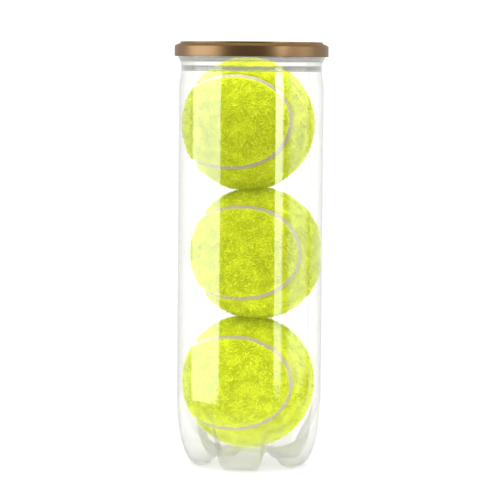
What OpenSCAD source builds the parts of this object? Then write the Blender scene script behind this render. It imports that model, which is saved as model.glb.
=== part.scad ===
/* [Can body] */
// Outer diameter of the blown body
body_d = 73.7; // [72:0.1:75]
// Outer diameter of the neck that the metal end is seamed on
neck_d = 72; // [71.6:0.1:72.4]
// Thickness of the clear wall
wall_t = 0.5; // [0.45:0.01:0.55]
// Height where the body starts to draw in to the neck
shoulder_z = 191; // [186:1:194]
// Height where the neck starts
neck_z = 199; // [198.5:0.1:199.4]

/* [Feet] */
// Number of feet blown in the base
foot_count = 5; // [4:1:6]
// Turn of the first foot from the front
foot_turn = -8; // [-36:1:36]
// Radius of the ring that the feet stand on
foot_ring_r = 23.85; // [22:0.05:25]
// Width of the flat under each foot, from its inner to its outer edge
foot_pad_w = 6; // [4:0.5:8]
// Height of the rounded heel that joins a foot to the wall
heel_h = 33; // [28:1:36]
// Half width of the channel between two feet, at the bottom
channel_low_w = 10.8; // [9:0.1:12]
// Half width of the channel between two feet, at its roof
channel_high_w = 9; // [7:0.1:10]
// Radius of the dome that roofs the channels
dome_r = 40; // [39:0.5:48]
// Height of the dome's lowest point above the ground
dome_z = 7; // [6.5:0.1:7.2]

/* [Metal end] */
// Outer diameter of the double seam
seam_d = 75.2; // [75:0.1:75.3]
// Height of the top of the double seam
seam_top_z = 212.5; // [212.3:0.1:212.6]
// Thickness of the sheet metal
sheet_t = 0.3; // [0.25:0.01:0.35]
// Diameter of the mouth that is left when the panel is torn off
mouth_d = 66.5; // [66.3:0.1:67]
// Height of the middle of the panel's sheet
panel_z = 207.4; // [207.2:0.1:207.6]

/* [Pull tab] */
// Distance of the tab's hinge line from the can's axis
tab_hinge_y = 30.2; // [29:0.1:30.5]
// Outer diameter of the ring for the finger
tab_ring_d = 24; // [22:0.5:26]
// Diameter of the ring's finger hole
tab_hole_d = 18; // [16:0.5:19]
// Height of the curled edge of the tab
tab_t = 1.4; // [1:0.1:1.8]

/* [Overcap] */
// Outer diameter of the plastic overcap
cap_d = 77.8; // [77.6:0.1:78.4]
// Height of the skirt's lower edge
cap_low_z = 206.7; // [206:0.1:207]
// Height of the top of the stacking ring
cap_top_z = 214.1; // [214:0.1:215]
// Diameter of the outside of the stacking ring
cap_ring_d = 72; // [70:0.5:72.5]

/* [Balls] */
// Diameter of a ball over its felt
ball_d = 65.4; // [65:0.1:65.5]
// Outer diameter of the rubber core
core_d = 59; // [58:0.1:59.2]
// Thickness of the rubber wall
core_t = 3.3; // [3:0.1:3.6]
// Width of the seam between the felt panels
seam_w = 2; // [1.6:0.1:2.4]
// Height of the bottom ball's centre
ball_low_z = 42; // [41.9:0.1:42.3]
// Gap left between one ball and the next
ball_gap = 0.1; // [0.05:0.05:0.3]
// How far the seam curve swings, as a share of the radius
seam_swing = 0.22; // [0.18:0.01:0.26]

/* [Hidden] */
BALLS = ["ball_top", "ball_middle", "ball_bottom"];
BALL_PIECES = ["core_left", "core_right", "felt_front", "felt_back", "seam"];
$fn = 96;

body_r = body_d / 2;
neck_r = neck_d / 2;
sector = 360 / foot_count;
pad_in_r = foot_ring_r - foot_pad_w / 2;
pad_out_r = foot_ring_r + foot_pad_w / 2;
foot_inner_top = [11.5, dome_z + 0.9];
nub_r = 8;
nub_z = dome_z - 0.6;
gate_t = 1.6;
channel_start = 9;
channel_top_z = 40;
// The neck has a shallow groove and, above it, the bead that carried it through blowing.
groove_z = neck_z + 0.9;
groove_w = 1.7;
groove_t = 0.35;
bead_z = 206.2;
bead_h = 0.7;
bead_r = 37.3;
flange_z = seam_top_z - 1.1;
flange_r = 36.95;
hook_z = flange_z - 1.5;

seam_r = seam_d / 2;
mouth_r = mouth_d / 2;
chuck_r = neck_r - wall_t - 0.05 - sheet_t / 2;
countersink_z = panel_z - 1.1;
seam_low_z = seam_top_z - 3;
score_gap = 0.1;
panel_r = mouth_r - score_gap;
panel_top_z = panel_z + sheet_t / 2;
bead_in_r = 16;
bead_out_r = 18.6;
panel_bead = 0.35;
tab_z = panel_top_z + 0.15;
tab_w = 12;
tongue_w = 6;
tongue_t = 0.4;
tongue_gap = 0.4;
tongue_root = 1.2;
rivet_r = 2.2;
rivet_y = tab_hinge_y - 4.6;
ring_y = 12;

cap_r = cap_d / 2;
cap_in_r = cap_r - 1.05;
cap_ring_r = cap_ring_d / 2;
cap_under_z = seam_top_z + 0.15;
cap_snap = 0.15;

ball_r = ball_d / 2;
core_r = core_d / 2;
felt_in_r = core_r + 0.3;
seam_out_r = ball_r - 0.8;
pitch = ball_d + ball_gap;
// Across the can each ball leans to one side or the other, because it is narrower than the can.
ball_low_x = -0.4;
ball_mid_x = 3.5;
ball_top_x = -1.5;
ball_mid_z = ball_low_z + sqrt(pitch * pitch - pow(ball_mid_x - ball_low_x, 2));
ball_top_z = ball_mid_z + sqrt(pitch * pitch - pow(ball_mid_x - ball_top_x, 2));
BALL_AT = [[ball_top_x, 0, ball_top_z], [ball_mid_x, 0, ball_mid_z], [ball_low_x, 0, ball_low_z]];
ball_turn = [92, -49, -106];
core_split_turn = [0, 90, 20];

can_colour = [0.93, 0.94, 0.93, 0.35];
metal_colour = [0.78, 0.79, 0.8];
bronze_colour = [0.66, 0.53, 0.4];
felt_colour = [0.85, 0.93, 0.2];
rubber_colour = [0.25, 0.25, 0.24];
cement_colour = [0.82, 0.8, 0.72];

// ---- outlines ----

// The height of a dome of radius r over its lowest point, at distance x from the axis.
function dome_rise(x, r) = r - sqrt(r * r - x * x);

// The points of a quarter ellipse from its foot at the bottom to its side.
function heel(foot_r, side_r, low_z, high_z, steps) = [
    for (i = [0:steps])
        [foot_r + (side_r - foot_r) * sin(90 * i / steps), high_z - (high_z - low_z) * cos(90 * i / steps)]
];

// A smooth step from one radius to another between two heights.
function draw_in(r0, r1, z0, z1, steps) = [
    for (i = [0:steps]) [r1 + (r0 - r1) * (1 + cos(180 * i / steps)) / 2, z0 + (z1 - z0) * i / steps]
];

// The outline of a strip of even thickness along a path: out along one side and back along the other.
function unit(v) = v / norm(v);
function left_of(v) = [-v[1], v[0]];
function side_at(path, i) =
    let (
        last = len(path) - 1,
        before = unit(path[max(i, 1)] - path[max(i, 1) - 1]),
        after = unit(path[min(i, last - 1) + 1] - path[min(i, last - 1)]),
        middle = unit(left_of(before) + left_of(after))
    )
    middle / (middle * left_of(before));
function strip(path, t) = concat(
    [for (i = [0:len(path) - 1]) path[i] + side_at(path, i) * t / 2],
    [for (i = [len(path) - 1:-1:0]) path[i] - side_at(path, i) * t / 2]);

// The can's outline with champagne-bottle feet all round, inset by t everywhere but on the axis.
function can_outline(t, centre_z) = concat(
    [[0, centre_z], [nub_r, centre_z], foot_inner_top + [0, t * 1.4], [pad_in_r + t / 2, t]],
    heel(pad_out_r - t / 2, body_r - t, t, heel_h, 9),
    draw_in(body_r - t, neck_r - t, shoulder_z, neck_z, 6),
    [
        [neck_r - t - groove_t, groove_z],
        [neck_r - t - groove_t, groove_z + groove_w],
        [neck_r - t, groove_z + groove_w + 0.6],
        [neck_r - t, bead_z - 2.6],
        [bead_r - t, bead_z],
        [bead_r - t, bead_z + bead_h],
        [neck_r - t, bead_z + bead_h + 1.2]
    ]);

// ---- can body ----

module spin(outline) {
    rotate_extrude()
        polygon(outline);
}

// All that lies above the dome that roofs the channels.
module above_dome(r, low_z) {
    steps = 10;
    edge = r * 0.97;
    spin(concat(
        [[0, channel_top_z + 20], [0, low_z]],
        [for (i = [1:steps]) [edge * i / steps, low_z + dome_rise(edge * i / steps, r)]],
        [[edge, channel_top_z + 20]]));
}

// The channels between the feet, each widened by t on every side and roofed by the dome.
module channels(t, r, low_z) {
    for (i = [0:foot_count - 1])
        difference() {
            rotate([0, 0, foot_turn + sector * (i + 0.5) - 90])
                translate([channel_start, 0, 0])
                    rotate([90, 0, 90])
                        linear_extrude(height = body_r)
                            polygon([
                                [-channel_low_w - t, -1],
                                [channel_low_w + t, -1],
                                [channel_high_w + t, channel_top_z],
                                [-channel_high_w - t, channel_top_z]
                            ]);
            above_dome(r, low_z);
        }
}

module can_outside() {
    difference() {
        spin(concat(can_outline(0, nub_z), [[neck_r, flange_z + wall_t], [0, flange_z + wall_t]]));
        channels(0, dome_r, dome_z);
    }
}

module can_inside() {
    difference() {
        spin(concat(can_outline(wall_t, nub_z + gate_t + 0.6), [
            [neck_r - wall_t, flange_z + 2],
            [0, flange_z + 2]
        ]));
        channels(wall_t, dome_r - wall_t, dome_z + gate_t);
    }
}

// The flange is turned out over the neck and hooks down inside the double seam.
module flange() {
    hook_r = flange_r - wall_t / 2;
    spin(strip([
        [neck_r - wall_t / 2, flange_z - 0.6],
        [neck_r - wall_t / 2, flange_z + wall_t / 2],
        [hook_r, flange_z + wall_t / 2],
        [hook_r, hook_z]
    ], wall_t));
}

module can_body() {
    color(can_colour) {
        difference() {
            can_outside();
            can_inside();
        }
        difference() {
            flange();
            cylinder(h = flange_z - 0.1, r = neck_r + 0.01);
        }
    }
}

// ---- metal end ----

module end_ring() {
    color(metal_colour)
        spin(strip([
            [mouth_r + sheet_t / 2, panel_z - 0.35],
            [mouth_r + 0.5, panel_z],
            [mouth_r + 0.75, countersink_z + 0.3],
            [mouth_r + 1.1, countersink_z],
            [chuck_r - 0.25, countersink_z],
            [chuck_r, countersink_z + 0.4],
            [chuck_r, seam_top_z - sheet_t / 2 - 0.2],
            [chuck_r + 0.3, seam_top_z - sheet_t / 2],
            [seam_r - 0.75, seam_top_z - sheet_t / 2],
            [seam_r - sheet_t / 2, seam_top_z - 0.75],
            [seam_r - sheet_t / 2, seam_low_z + 0.25],
            [seam_r - 0.45, seam_low_z],
            [neck_r + 0.35, seam_low_z],
            [neck_r + 0.2, seam_low_z + 0.35],
            [neck_r + 0.2, seam_low_z + 1.5]
        ], sheet_t));
}

// The ring of sealing compound fills the gap between the flange and the seam's top.
module seam_sealant() {
    low_z = flange_z + wall_t + 0.02;
    high_z = seam_top_z - sheet_t - 0.02;
    color([0.75, 0.73, 0.66])
        spin([
            [neck_r - wall_t + 0.25, low_z],
            [flange_r - 0.3, low_z],
            [flange_r - 0.3, high_z - 0.12],
            [flange_r - 0.5, high_z],
            [neck_r - wall_t + 0.25, high_z]
        ]);
}

// The torn-off panel has a stiffening bead near its edge and a rivet formed from its own metal.
module tear_panel() {
    low_z = panel_z - sheet_t / 2;
    color(metal_colour) {
        spin([
            [0, low_z],
            [bead_in_r, low_z],
            [bead_in_r + 0.6, low_z - panel_bead],
            [bead_out_r - 0.6, low_z - panel_bead],
            [bead_out_r, low_z],
            [panel_r - 1, low_z],
            [panel_r, panel_z],
            [panel_r, panel_top_z - 0.05],
            [panel_r - 0.4, panel_top_z],
            [bead_out_r, panel_top_z],
            [bead_out_r - 0.6, panel_top_z - panel_bead],
            [bead_in_r + 0.6, panel_top_z - panel_bead],
            [bead_in_r, panel_top_z],
            [0, panel_top_z]
        ]);
        translate([0, -rivet_y, panel_z]) {
            cylinder(h = tab_z - panel_z + tongue_t + 0.5, r = 1.4);
            translate([0, 0, tab_z - panel_z + tongue_t + 0.02])
                cylinder(h = 0.5, r1 = rivet_r, r2 = rivet_r - 0.5);
        }
    }
}

// The tongue is cut free of the tab on three sides. The rivet holds it flat while the ring lifts.
module rivet_tongue() {
    color(metal_colour)
        translate([0, 0, tab_z + 0.01])
            difference() {
                linear_extrude(height = tongue_t)
                    union() {
                        translate([-tongue_w / 2, -tab_hinge_y + tongue_root])
                            square([tongue_w, tab_hinge_y - rivet_y - tongue_root]);
                        translate([0, -rivet_y])
                            circle(d = tongue_w);
                    }
                translate([0, -rivet_y, -1])
                    cylinder(h = 3, r = 1.42);
            }
}

module pull_tab() {
    color(metal_colour) {
        difference() {
            union() {
                // curled ring for the finger
                translate([0, -ring_y, tab_z])
                    spin([
                        [tab_hole_d / 2, 0.4],
                        [tab_hole_d / 2 + 0.4, 0],
                        [tab_ring_d / 2 - 0.4, 0],
                        [tab_ring_d / 2, 0.4],
                        [tab_ring_d / 2, tab_t - 0.4],
                        [tab_ring_d / 2 - 0.4, tab_t],
                        [tab_hole_d / 2 + 0.4, tab_t],
                        [tab_hole_d / 2, tab_t - 0.4]
                    ]);
                // neck of the tab, from the ring to the hinge line
                translate([-tab_w / 2, -tab_hinge_y, tab_z + 0.1])
                    cube([tab_w, tab_hinge_y - ring_y - tab_ring_d / 2 + 1.6, tab_t - 0.2]);
            }
            // finger hole, kept clear of the neck
            translate([0, -ring_y, tab_z - 1])
                cylinder(h = tab_t + 2, d = tab_hole_d);
            // opening round the tongue
            translate([0, 0, tab_z - 1])
                linear_extrude(height = tab_t + 2) {
                    translate([-tongue_w / 2 - tongue_gap, -tab_hinge_y + tab_t / 2 + 0.05])
                        square([tongue_w + 2 * tongue_gap, tab_hinge_y - rivet_y - tab_t / 2 + 0.05]);
                    translate([0, -rivet_y])
                        circle(r = tongue_w / 2 + tongue_gap);
                }
            // room for the rolled nose
            translate([-tab_w / 2 - 1, -tab_hinge_y - 1, tab_z - 0.5])
                cube([tab_w + 2, 1, tab_t + 1]);
        }
        // rolled nose on the hinge line
        translate([-tab_w / 2, -tab_hinge_y, tab_z + tab_t / 2])
            rotate([0, 90, 0])
                cylinder(h = tab_w, d = tab_t - 0.02);
    }
}

// ---- overcap ----

module overcap() {
    plate_z = cap_top_z - 0.9;
    plate_t = 1;
    color(bronze_colour)
        spin([
            [0, plate_z - plate_t],
            [33.9, plate_z - plate_t],
            [34.6, cap_under_z],
            [cap_in_r - 0.95, cap_under_z],
            [cap_in_r, seam_top_z - 0.8],
            [cap_in_r, seam_low_z],
            [cap_in_r - cap_snap, seam_low_z - 0.5],
            [cap_in_r, seam_low_z - 1],
            [cap_in_r, cap_low_z],
            [cap_r - 0.15, cap_low_z],
            [cap_r, cap_low_z + 0.15],
            [cap_r, cap_top_z - 2.5],
            [cap_r - 0.12, cap_top_z - 2.1],
            [cap_r - 0.45, cap_top_z - 1.8],
            [cap_ring_r + 0.6, cap_top_z - 0.95],
            [cap_ring_r + 0.1, cap_top_z - 0.85],
            [cap_ring_r, cap_top_z - 0.2],
            [cap_ring_r - 0.2, cap_top_z],
            [cap_ring_r - 1.2, cap_top_z],
            [cap_ring_r - 1.5, cap_top_z - 0.2],
            [cap_ring_r - 1.8, plate_z],
            [0, plate_z]
        ]);
}

// ---- balls ----

// A point of the seam curve on a unit sphere, its direction of travel, and the side where the front panel lies.
function seam_point(t) = [
    (1 - seam_swing) * cos(t) + seam_swing * cos(3 * t),
    (1 - seam_swing) * sin(t) - seam_swing * sin(3 * t),
    2 * sqrt(seam_swing * (1 - seam_swing)) * sin(2 * t)
];
function seam_along(t) = unit([
    -(1 - seam_swing) * sin(t) - 3 * seam_swing * sin(3 * t),
    (1 - seam_swing) * cos(t) - 3 * seam_swing * cos(3 * t),
    4 * sqrt(seam_swing * (1 - seam_swing)) * cos(2 * t)
]);
function beside_seam(t, away) = unit(seam_point(t) + cross(seam_point(t), seam_along(t)) * away);

// The point a share s of the way along the great circle from a to b.
function on_arc(a, b, s) =
    let (angle = acos(a * b))
    (a * sin(angle * (1 - s)) + b * sin(angle * s)) / sin(angle);

// Two triangles for each cell of a grid of points, with rows of n points, the first point being number first.
function cells(rows, n, first, flip) = [
    for (i = [0:rows - 1]) for (j = [0:n - 2])
        let (a = first + i * n + j, b = a + 1, c = a + n, d = c + 1)
        each flip ? [[a, c, d], [a, d, b]] : [[a, d, c], [a, b, d]]
];

// One felt panel: two lobes joined by a waist, wrapped over half of the ball.
module felt_panel() {
    rows = 34;
    columns = 8;
    edge = (seam_w / 2 + 0.1) / core_r;
    near_tip = 3;
    n = columns + 1;
    count = (rows + 1) * n;
    grid = [
        for (i = [0:rows])
            let (
                t = -45 + near_tip + (180 - 2 * near_tip) * i / rows,
                a = beside_seam(t, edge),
                b = beside_seam(-90 - t, edge)
            )
            for (j = [0:columns]) on_arc(a, b, j / columns)
    ];
    rim = concat(
        [for (j = [0:columns]) j],
        [for (i = [1:rows]) i * n + columns],
        [for (j = [columns - 1:-1:0]) rows * n + j],
        [for (i = [rows - 1:-1:1]) i * n]);
    walls = [
        for (k = [0:len(rim) - 1])
            let (a = rim[k], b = rim[(k + 1) % len(rim)])
            each [[a, b + count, b], [a, a + count, b + count]]
    ];
    polyhedron(
        points = concat([for (p = grid) p * ball_r], [for (p = grid) p * felt_in_r]),
        faces = concat(cells(rows, n, 0, false), cells(rows, n, count, true), walls));
}

// The band of cement that shows between the two panels.
module seam_band() {
    steps = 80;
    half = seam_w / 2;
    corners = [
        for (k = [0:steps - 1])
            let (t = 360 * k / steps)
            each [
                beside_seam(t, half / core_r) * (core_r + 0.15),
                beside_seam(t, half / core_r) * seam_out_r,
                beside_seam(t, -half / core_r) * seam_out_r,
                beside_seam(t, -half / core_r) * (core_r + 0.15)
            ]
    ];
    sides = [
        for (k = [0:steps - 1]) for (j = [0:3])
            let (a = 4 * k + j, b = 4 * k + (j + 1) % 4, c = 4 * ((k + 1) % steps) + j,
                 d = 4 * ((k + 1) % steps) + (j + 1) % 4)
            each [[a, d, b], [a, c, d]]
    ];
    polyhedron(points = corners, faces = sides);
}

// Half of the hollow rubber core.
module core_half(side) {
    rotate(core_split_turn)
        rotate([side > 0 ? 0 : 180, 0, 0])
            rotate_extrude()
                difference() {
                    circle(r = core_r);
                    circle(r = core_r - core_t);
                    translate([-ball_d, -ball_d])
                        square([ball_d, 2 * ball_d]);
                    translate([-1, -ball_d])
                        square([ball_d, ball_d + 0.01]);
                }
}

module ball_piece(at, piece) {
    translate(at) {
        if (piece == "core_left") color(rubber_colour) core_half(1);
        if (piece == "core_right") color(rubber_colour) core_half(-1);
        if (piece == "felt_front") color(felt_colour) rotate(ball_turn) felt_panel();
        if (piece == "felt_back") color(felt_colour) rotate(ball_turn) rotate([180, 0, 0]) felt_panel();
        if (piece == "seam") color(cement_colour) rotate(ball_turn) seam_band();
    }
}

can_body();
end_ring();
seam_sealant();
tear_panel();
rivet_tongue();
pull_tab();
overcap();
for (i = [0:2]) for (p = BALL_PIECES)
    ball_piece(BALL_AT[i], p);
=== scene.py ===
import math
from types import SimpleNamespace

import bmesh
import bpy
import numpy as np
from mathutils import Matrix, Vector, noise


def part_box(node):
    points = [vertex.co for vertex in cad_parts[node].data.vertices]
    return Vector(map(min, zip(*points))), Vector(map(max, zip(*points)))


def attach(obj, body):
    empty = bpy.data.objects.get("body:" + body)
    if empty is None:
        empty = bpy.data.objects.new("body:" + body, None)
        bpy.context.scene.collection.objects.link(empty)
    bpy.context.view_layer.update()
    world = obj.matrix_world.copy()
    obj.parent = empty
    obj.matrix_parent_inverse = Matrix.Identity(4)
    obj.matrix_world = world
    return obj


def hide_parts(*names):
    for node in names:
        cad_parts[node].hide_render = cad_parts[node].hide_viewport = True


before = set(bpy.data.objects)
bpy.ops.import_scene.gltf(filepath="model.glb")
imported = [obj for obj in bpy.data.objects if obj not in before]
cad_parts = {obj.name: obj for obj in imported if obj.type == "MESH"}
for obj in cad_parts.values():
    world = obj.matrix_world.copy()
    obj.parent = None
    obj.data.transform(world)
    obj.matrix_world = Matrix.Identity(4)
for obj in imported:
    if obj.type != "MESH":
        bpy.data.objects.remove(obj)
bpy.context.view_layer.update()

bl_info = {
    "name": "Tennis ball can",
    "version": (1, 0, 0),
    "blender": (4, 5, 0),
    "location": "3D View > Sidebar > Ball can",
    "description": "Builds a clear can of three tennis balls around its CAD frame",
    "category": "Object",
}

MM = 0.001
# Share of a softbox's light that falls on matt surfaces.
MATT_SHARE = 0.55
SWIRL_SEED = 7
BALLS = ("ball_bottom", "ball_middle", "ball_top")
PANELS = ("felt_front", "felt_back")


# ---- settings -------------------------------------------------------------------------------


def length(name, description, millimetres):
    return bpy.props.FloatProperty(
        name=name, description=description, default=millimetres * MM,
        subtype="DISTANCE", unit="LENGTH", precision=5)


def amount(name, description, default, low=0.0, high=1.0):
    return bpy.props.FloatProperty(
        name=name, description=description, default=default, min=low, max=high)


def whole(name, description, default):
    return bpy.props.IntProperty(name=name, description=description, default=default, min=1)


def angle(name, description, degrees):
    return bpy.props.FloatProperty(
        name=name, description=description, default=math.radians(degrees),
        subtype="ANGLE", unit="ROTATION")


def linear(hex_colour):
    """A linear colour from an sRGB hex value such as #e8fa5b."""
    channels = [int(hex_colour[i:i + 2], 16) / 255 for i in (1, 3, 5)]
    return tuple(c / 12.92 if c <= 0.04045 else ((c + 0.055) / 1.055) ** 2.4 for c in channels)


def colour(name, description, hex_colour):
    return bpy.props.FloatVectorProperty(
        name=name, description=description, default=linear(hex_colour),
        subtype="COLOR", size=3, min=0.0, max=1.0)


class CanSettings(bpy.types.PropertyGroup):
    wall_r: length("Wall radius", "Outer radius of the straight wall", 36.85)
    neck_r: length("Neck radius", "Outer radius of the neck", 36.0)
    wall_t: length("Wall", "Thickness of the blown wall", 0.5)
    gate_t: length("Gate", "Thickness of the base where the preform was filled", 1.5)
    shoulder_z: length("Shoulder", "Height where the wall starts to draw in", 191)
    neck_z: length("Neck", "Height where the neck starts", 199)
    bead_z: length("Bead", "Height of the lower edge of the neck's bead", 206.2)
    bead_r: length("Bead radius", "Outer radius of the neck's bead", 37.3)
    groove_t: length("Groove", "Depth of the groove under the bead", 0.35)
    groove_w: length("Groove width", "Height of the groove under the bead", 1.7)
    flange_z: length("Flange", "Height of the underside of the flange", 211.4)
    hook_z: length("Hook", "Height of the flange's lower edge", 209.9)
    heel_h: length("Heel", "Height of the rounded heel of a foot", 33)
    base_h: length("Base", "Height where the base has passed into the wall", 38)
    foot_top_r: length("Foot inside", "Radius where the slope inside a foot starts", 11.5)
    foot_top_z: length("Foot inside height", "Height where the slope inside a foot starts", 7.9)
    pad_in_r: length("Pad inside", "Inner radius of the flats that the can stands on", 20.85)
    pad_out_r: length("Pad outside", "Outer radius of the flats that the can stands on", 26.85)
    dome_z: length("Middle height", "Height of the middle of the base", 7)
    valley_rise: length("Valley rise", "How far a valley rises from the middle to the wall", 27)
    valley_in: length("Valley bottom", "Half width of a valley's bottom at the heel", 6.8)
    valley_out: length("Valley mouth", "Half width of a valley's mouth", 10.8)
    foot_count: whole("Feet", "Number of feet", 5)
    foot_turn: angle("Foot turn", "Turn of the first foot from the front", -8)
    clear: colour("Clear", "Tint of light that crosses the wall squarely", "#fefefe")
    tint: colour("Edge tint", "Tint of light that runs along the wall", "#f6f6f4")
    # Painted shade: grey laid over the neck's rings and the feet, standing in for the dark room
    # that their curved walls refract.
    painted_grey: colour("Haze", "Colour of the haze in the neck's rings", "#8d8c8a")
    foot_painted_grey: colour("Foot haze", "Colour of the haze in the feet", "#b0b0ad")
    gloss: amount("Gloss", "Roughness of the mould's polish", 0.03)
    steps: whole("Steps round", "Points round the can", 400)


class EndSettings(bpy.types.PropertyGroup):
    sheet_t: length("Sheet", "Thickness of the metal sheet", 0.3)
    seam_top_z: length("Seam top", "Height of the top of the double seam", 212.5)
    seam_r: length("Seam radius", "Outer radius of the double seam", 37.6)
    mouth_r: length("Mouth radius", "Radius of the mouth inside the score", 33.25)
    panel_z: length("Panel", "Height of the middle of the panel's sheet", 207.4)
    panel_r: length("Panel radius", "Radius of the torn-off panel", 33.15)
    rivet_y: length("Rivet", "Distance of the rivet from the can's axis", 25.6)
    hinge_y: length("Hinge", "Distance of the tab's hinge line from the can's axis", 30.2)
    ring_y: length("Ring", "Distance of the ring's centre from the can's axis", 12)
    ring_r: length("Ring radius", "Outer radius of the finger ring", 12)
    hole_r: length("Finger hole", "Radius of the finger hole", 9)
    tab_z: length("Tab underside", "Height of the underside of the tab", 207.7)
    tab_t: length("Tab", "Height of the tab's curled edge", 1.4)
    tab_w: length("Tab width", "Width of the tab's neck", 12)
    tongue_w: length("Tongue width", "Width of the tongue that the rivet holds", 6)
    metal: colour("Aluminium", "Colour of the bare sheet", "#cfd0cf")
    compound: colour("Compound", "Colour of the sealing compound", "#bcb8a8")


class CapSettings(bpy.types.PropertyGroup):
    cap_r: length("Overcap radius", "Outer radius of the overcap", 38.9)
    low_z: length("Skirt", "Height of the skirt's lower edge", 206.7)
    top_z: length("Top", "Height of the top of the stacking ring", 214.1)
    ring_r: length("Stacking ring", "Outer radius of the stacking ring", 36)
    wall_t: length("Wall", "Thickness of the skirt", 1.05)
    bronze: colour("Bronze", "Colour of the bronze finish", "#80623a")
    edge_tint: colour("Edge tint", "Tint of the metallic gloss at grazing angles", "#8f8170")
    metallic: amount("Metallic", "Share of metallic pigment in the gloss", 0.8)
    roughness: amount("Roughness", "Roughness of the satin skirt", 0.37)
    matt: amount("Matt", "Roughness of the etched top face", 0.7)
    lacquer: amount("Lacquer", "Strength of the clear skin on the skirt", 0.7)


class BallSettings(bpy.types.PropertyGroup):
    felt_r: length("Felt radius", "Radius to the foot of the nap", 32.95)
    felt_in_r: length("Felt inside", "Radius of the inside of the felt", 29.8)
    edge_drop: length("Edge drop", "How far the felt's edge dips to the seam", 0.7)
    seam_w: length("Seam width", "Width of the seam between the panels", 2.3)
    seam_r: length("Seam radius", "Radius to the face of the seam", 32.45)
    swing: amount("Seam swing", "How far the seam swings, as a share of the radius", 0.22)
    turn: bpy.props.FloatVectorProperty(
        name="Ball turn", description="Turn of each ball about X, Y and Z", subtype="EULER",
        unit="ROTATION", size=3, default=[math.radians(a) for a in (92, -49, -106)])
    fibre_l: length("Fibre length", "Longest fibre of the nap", 3.6)
    tuft_t: length("Tuft", "Radius of a tuft at its root", 0.34)
    fibre_t: length("Fibre", "Radius of a single fibre at its root", 0.13)
    tuft_count: whole("Tufts", "Tufts on one felt panel", 3600)
    fibre_count: whole("Fibres", "Single fibres on one felt panel", 9000)
    # Painted light and shade: the nap's tips take the lit colour and its depth takes the painted
    # shade colour.
    lit_felt: colour("Nap tips", "Colour of the tips of the nap", "#f4fb35")
    deep_felt: colour("Nap depth", "Colour deep in the nap", "#96a400")
    bloom: colour("Bloom", "Colour of the nap's pale bloom at grazing angles", "#edff59")
    # Painted glow: the felt emits light of its own, standing in for the dye's fluorescence and for
    # light through the nap; it lifts the shade most in the contacts between the balls.
    glow: amount("Glow", "Strength of the dye's fluorescence", 0.16)
    cement: colour("Cement", "Colour of the seam", "#aca48a")
    rubber: colour("Core rubber", "Colour of the rubber core", "#33312e")


class StageSettings(bpy.types.PropertyGroup):
    camera_y: length("Camera distance", "Distance of the camera in front of the axis", 1269)
    camera_z: length("Camera height", "Height of the camera", 202.6)
    camera_tilt: angle("Camera tilt", "How far the camera looks down", 4.228)
    camera_roll: angle("Camera roll", "Roll of the camera", 0.467)
    lens: amount("Lens", "Focal length in millimetres", 180.43, 20, 400)
    white: colour("White", "Colour of the floor and the backdrop", "#ffffff")
    near_paint: colour("Near paint", "Paint of the floor that takes the shadow", "#7c7c7c")
    far_paint: colour("Far paint", "Paint of the floor that only glows", "#101010")
    near_glow: amount("Near glow", "Brightness of the floor near the can", 0.6, 0, 10)
    backdrop: amount("Backdrop", "Brightness of the backdrop", 1.3, 0, 10)
    dark_side: amount("Dark side", "Brightness behind the camera in gloss", 0.04, 0, 10)
    lit_side: amount("Lit side", "Brightness behind the can in gloss", 0.9, 0, 10)
    front_fill: amount("Front fill", "Brightness of the fill from the front", 0.02, 0, 10)
    side_fill: amount("Side fill", "Brightness of the fill from the sides", 3.5, 0, 10)
    back_share: amount("Back share", "Share of the side fill that is left behind the can", 0.12)
    top_fill: amount("Top fill", "Brightness that the ceiling adds", 3.5, 0, 10)
    floor_glow: amount("Floor glow", "Light that the floor near the can throws up", 2.5, 0, 10)
    floor_far: amount("Far floor glow", "Light that the rest of the floor throws up", 0.4, 0, 10)
    softbox_top: length("Softbox top", "Height of the softboxes' upper edges", 540)
    wide_light: amount("Wide softbox", "Radiance of the wide softbox", 4.1, 0, 100)
    strip_light: amount("Strip softbox", "Radiance of the strip softbox", 9.0, 0, 100)
    fill_light: amount("Fill softbox", "Radiance of the fill softbox", 2.2, 0, 100)


SETTINGS = {
    "can": CanSettings,
    "end": EndSettings,
    "cap": CapSettings,
    "ball": BallSettings,
    "stage": StageSettings,
}


def settings_of(part):
    """A part's settings: its lengths in millimetres, and the rest as they are."""
    group = getattr(bpy.context.scene, "ball_can_" + part)
    values = {}
    for prop in group.bl_rna.properties:
        if prop.identifier in ("rna_type", "name"):
            continue
        value = getattr(group, prop.identifier)
        values[prop.identifier] = value / MM if prop.subtype == "DISTANCE" else value
    return SimpleNamespace(**values)


# ---- materials ------------------------------------------------------------------------------


def add_node(tree, kind, inputs=None, **settings):
    """Adds a node with its own settings, and gives its inputs values or links them to sockets."""
    node = tree.nodes.new(kind)
    for key, value in settings.items():
        setattr(node, key, value)
    for key, value in (inputs or {}).items():
        if isinstance(value, bpy.types.NodeSocket):
            tree.links.new(value, node.inputs[key])
        else:
            node.inputs[key].default_value = value
    return node


def new_material(name):
    material = bpy.data.materials.new(name)
    material.use_nodes = True
    material.node_tree.nodes.clear()
    return material


def rgba(rgb):
    return (*rgb, 1.0)


def scale_for(millimetres):
    """The texture scale at which features are that many millimetres across."""
    return 1 / (millimetres * MM)


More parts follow.
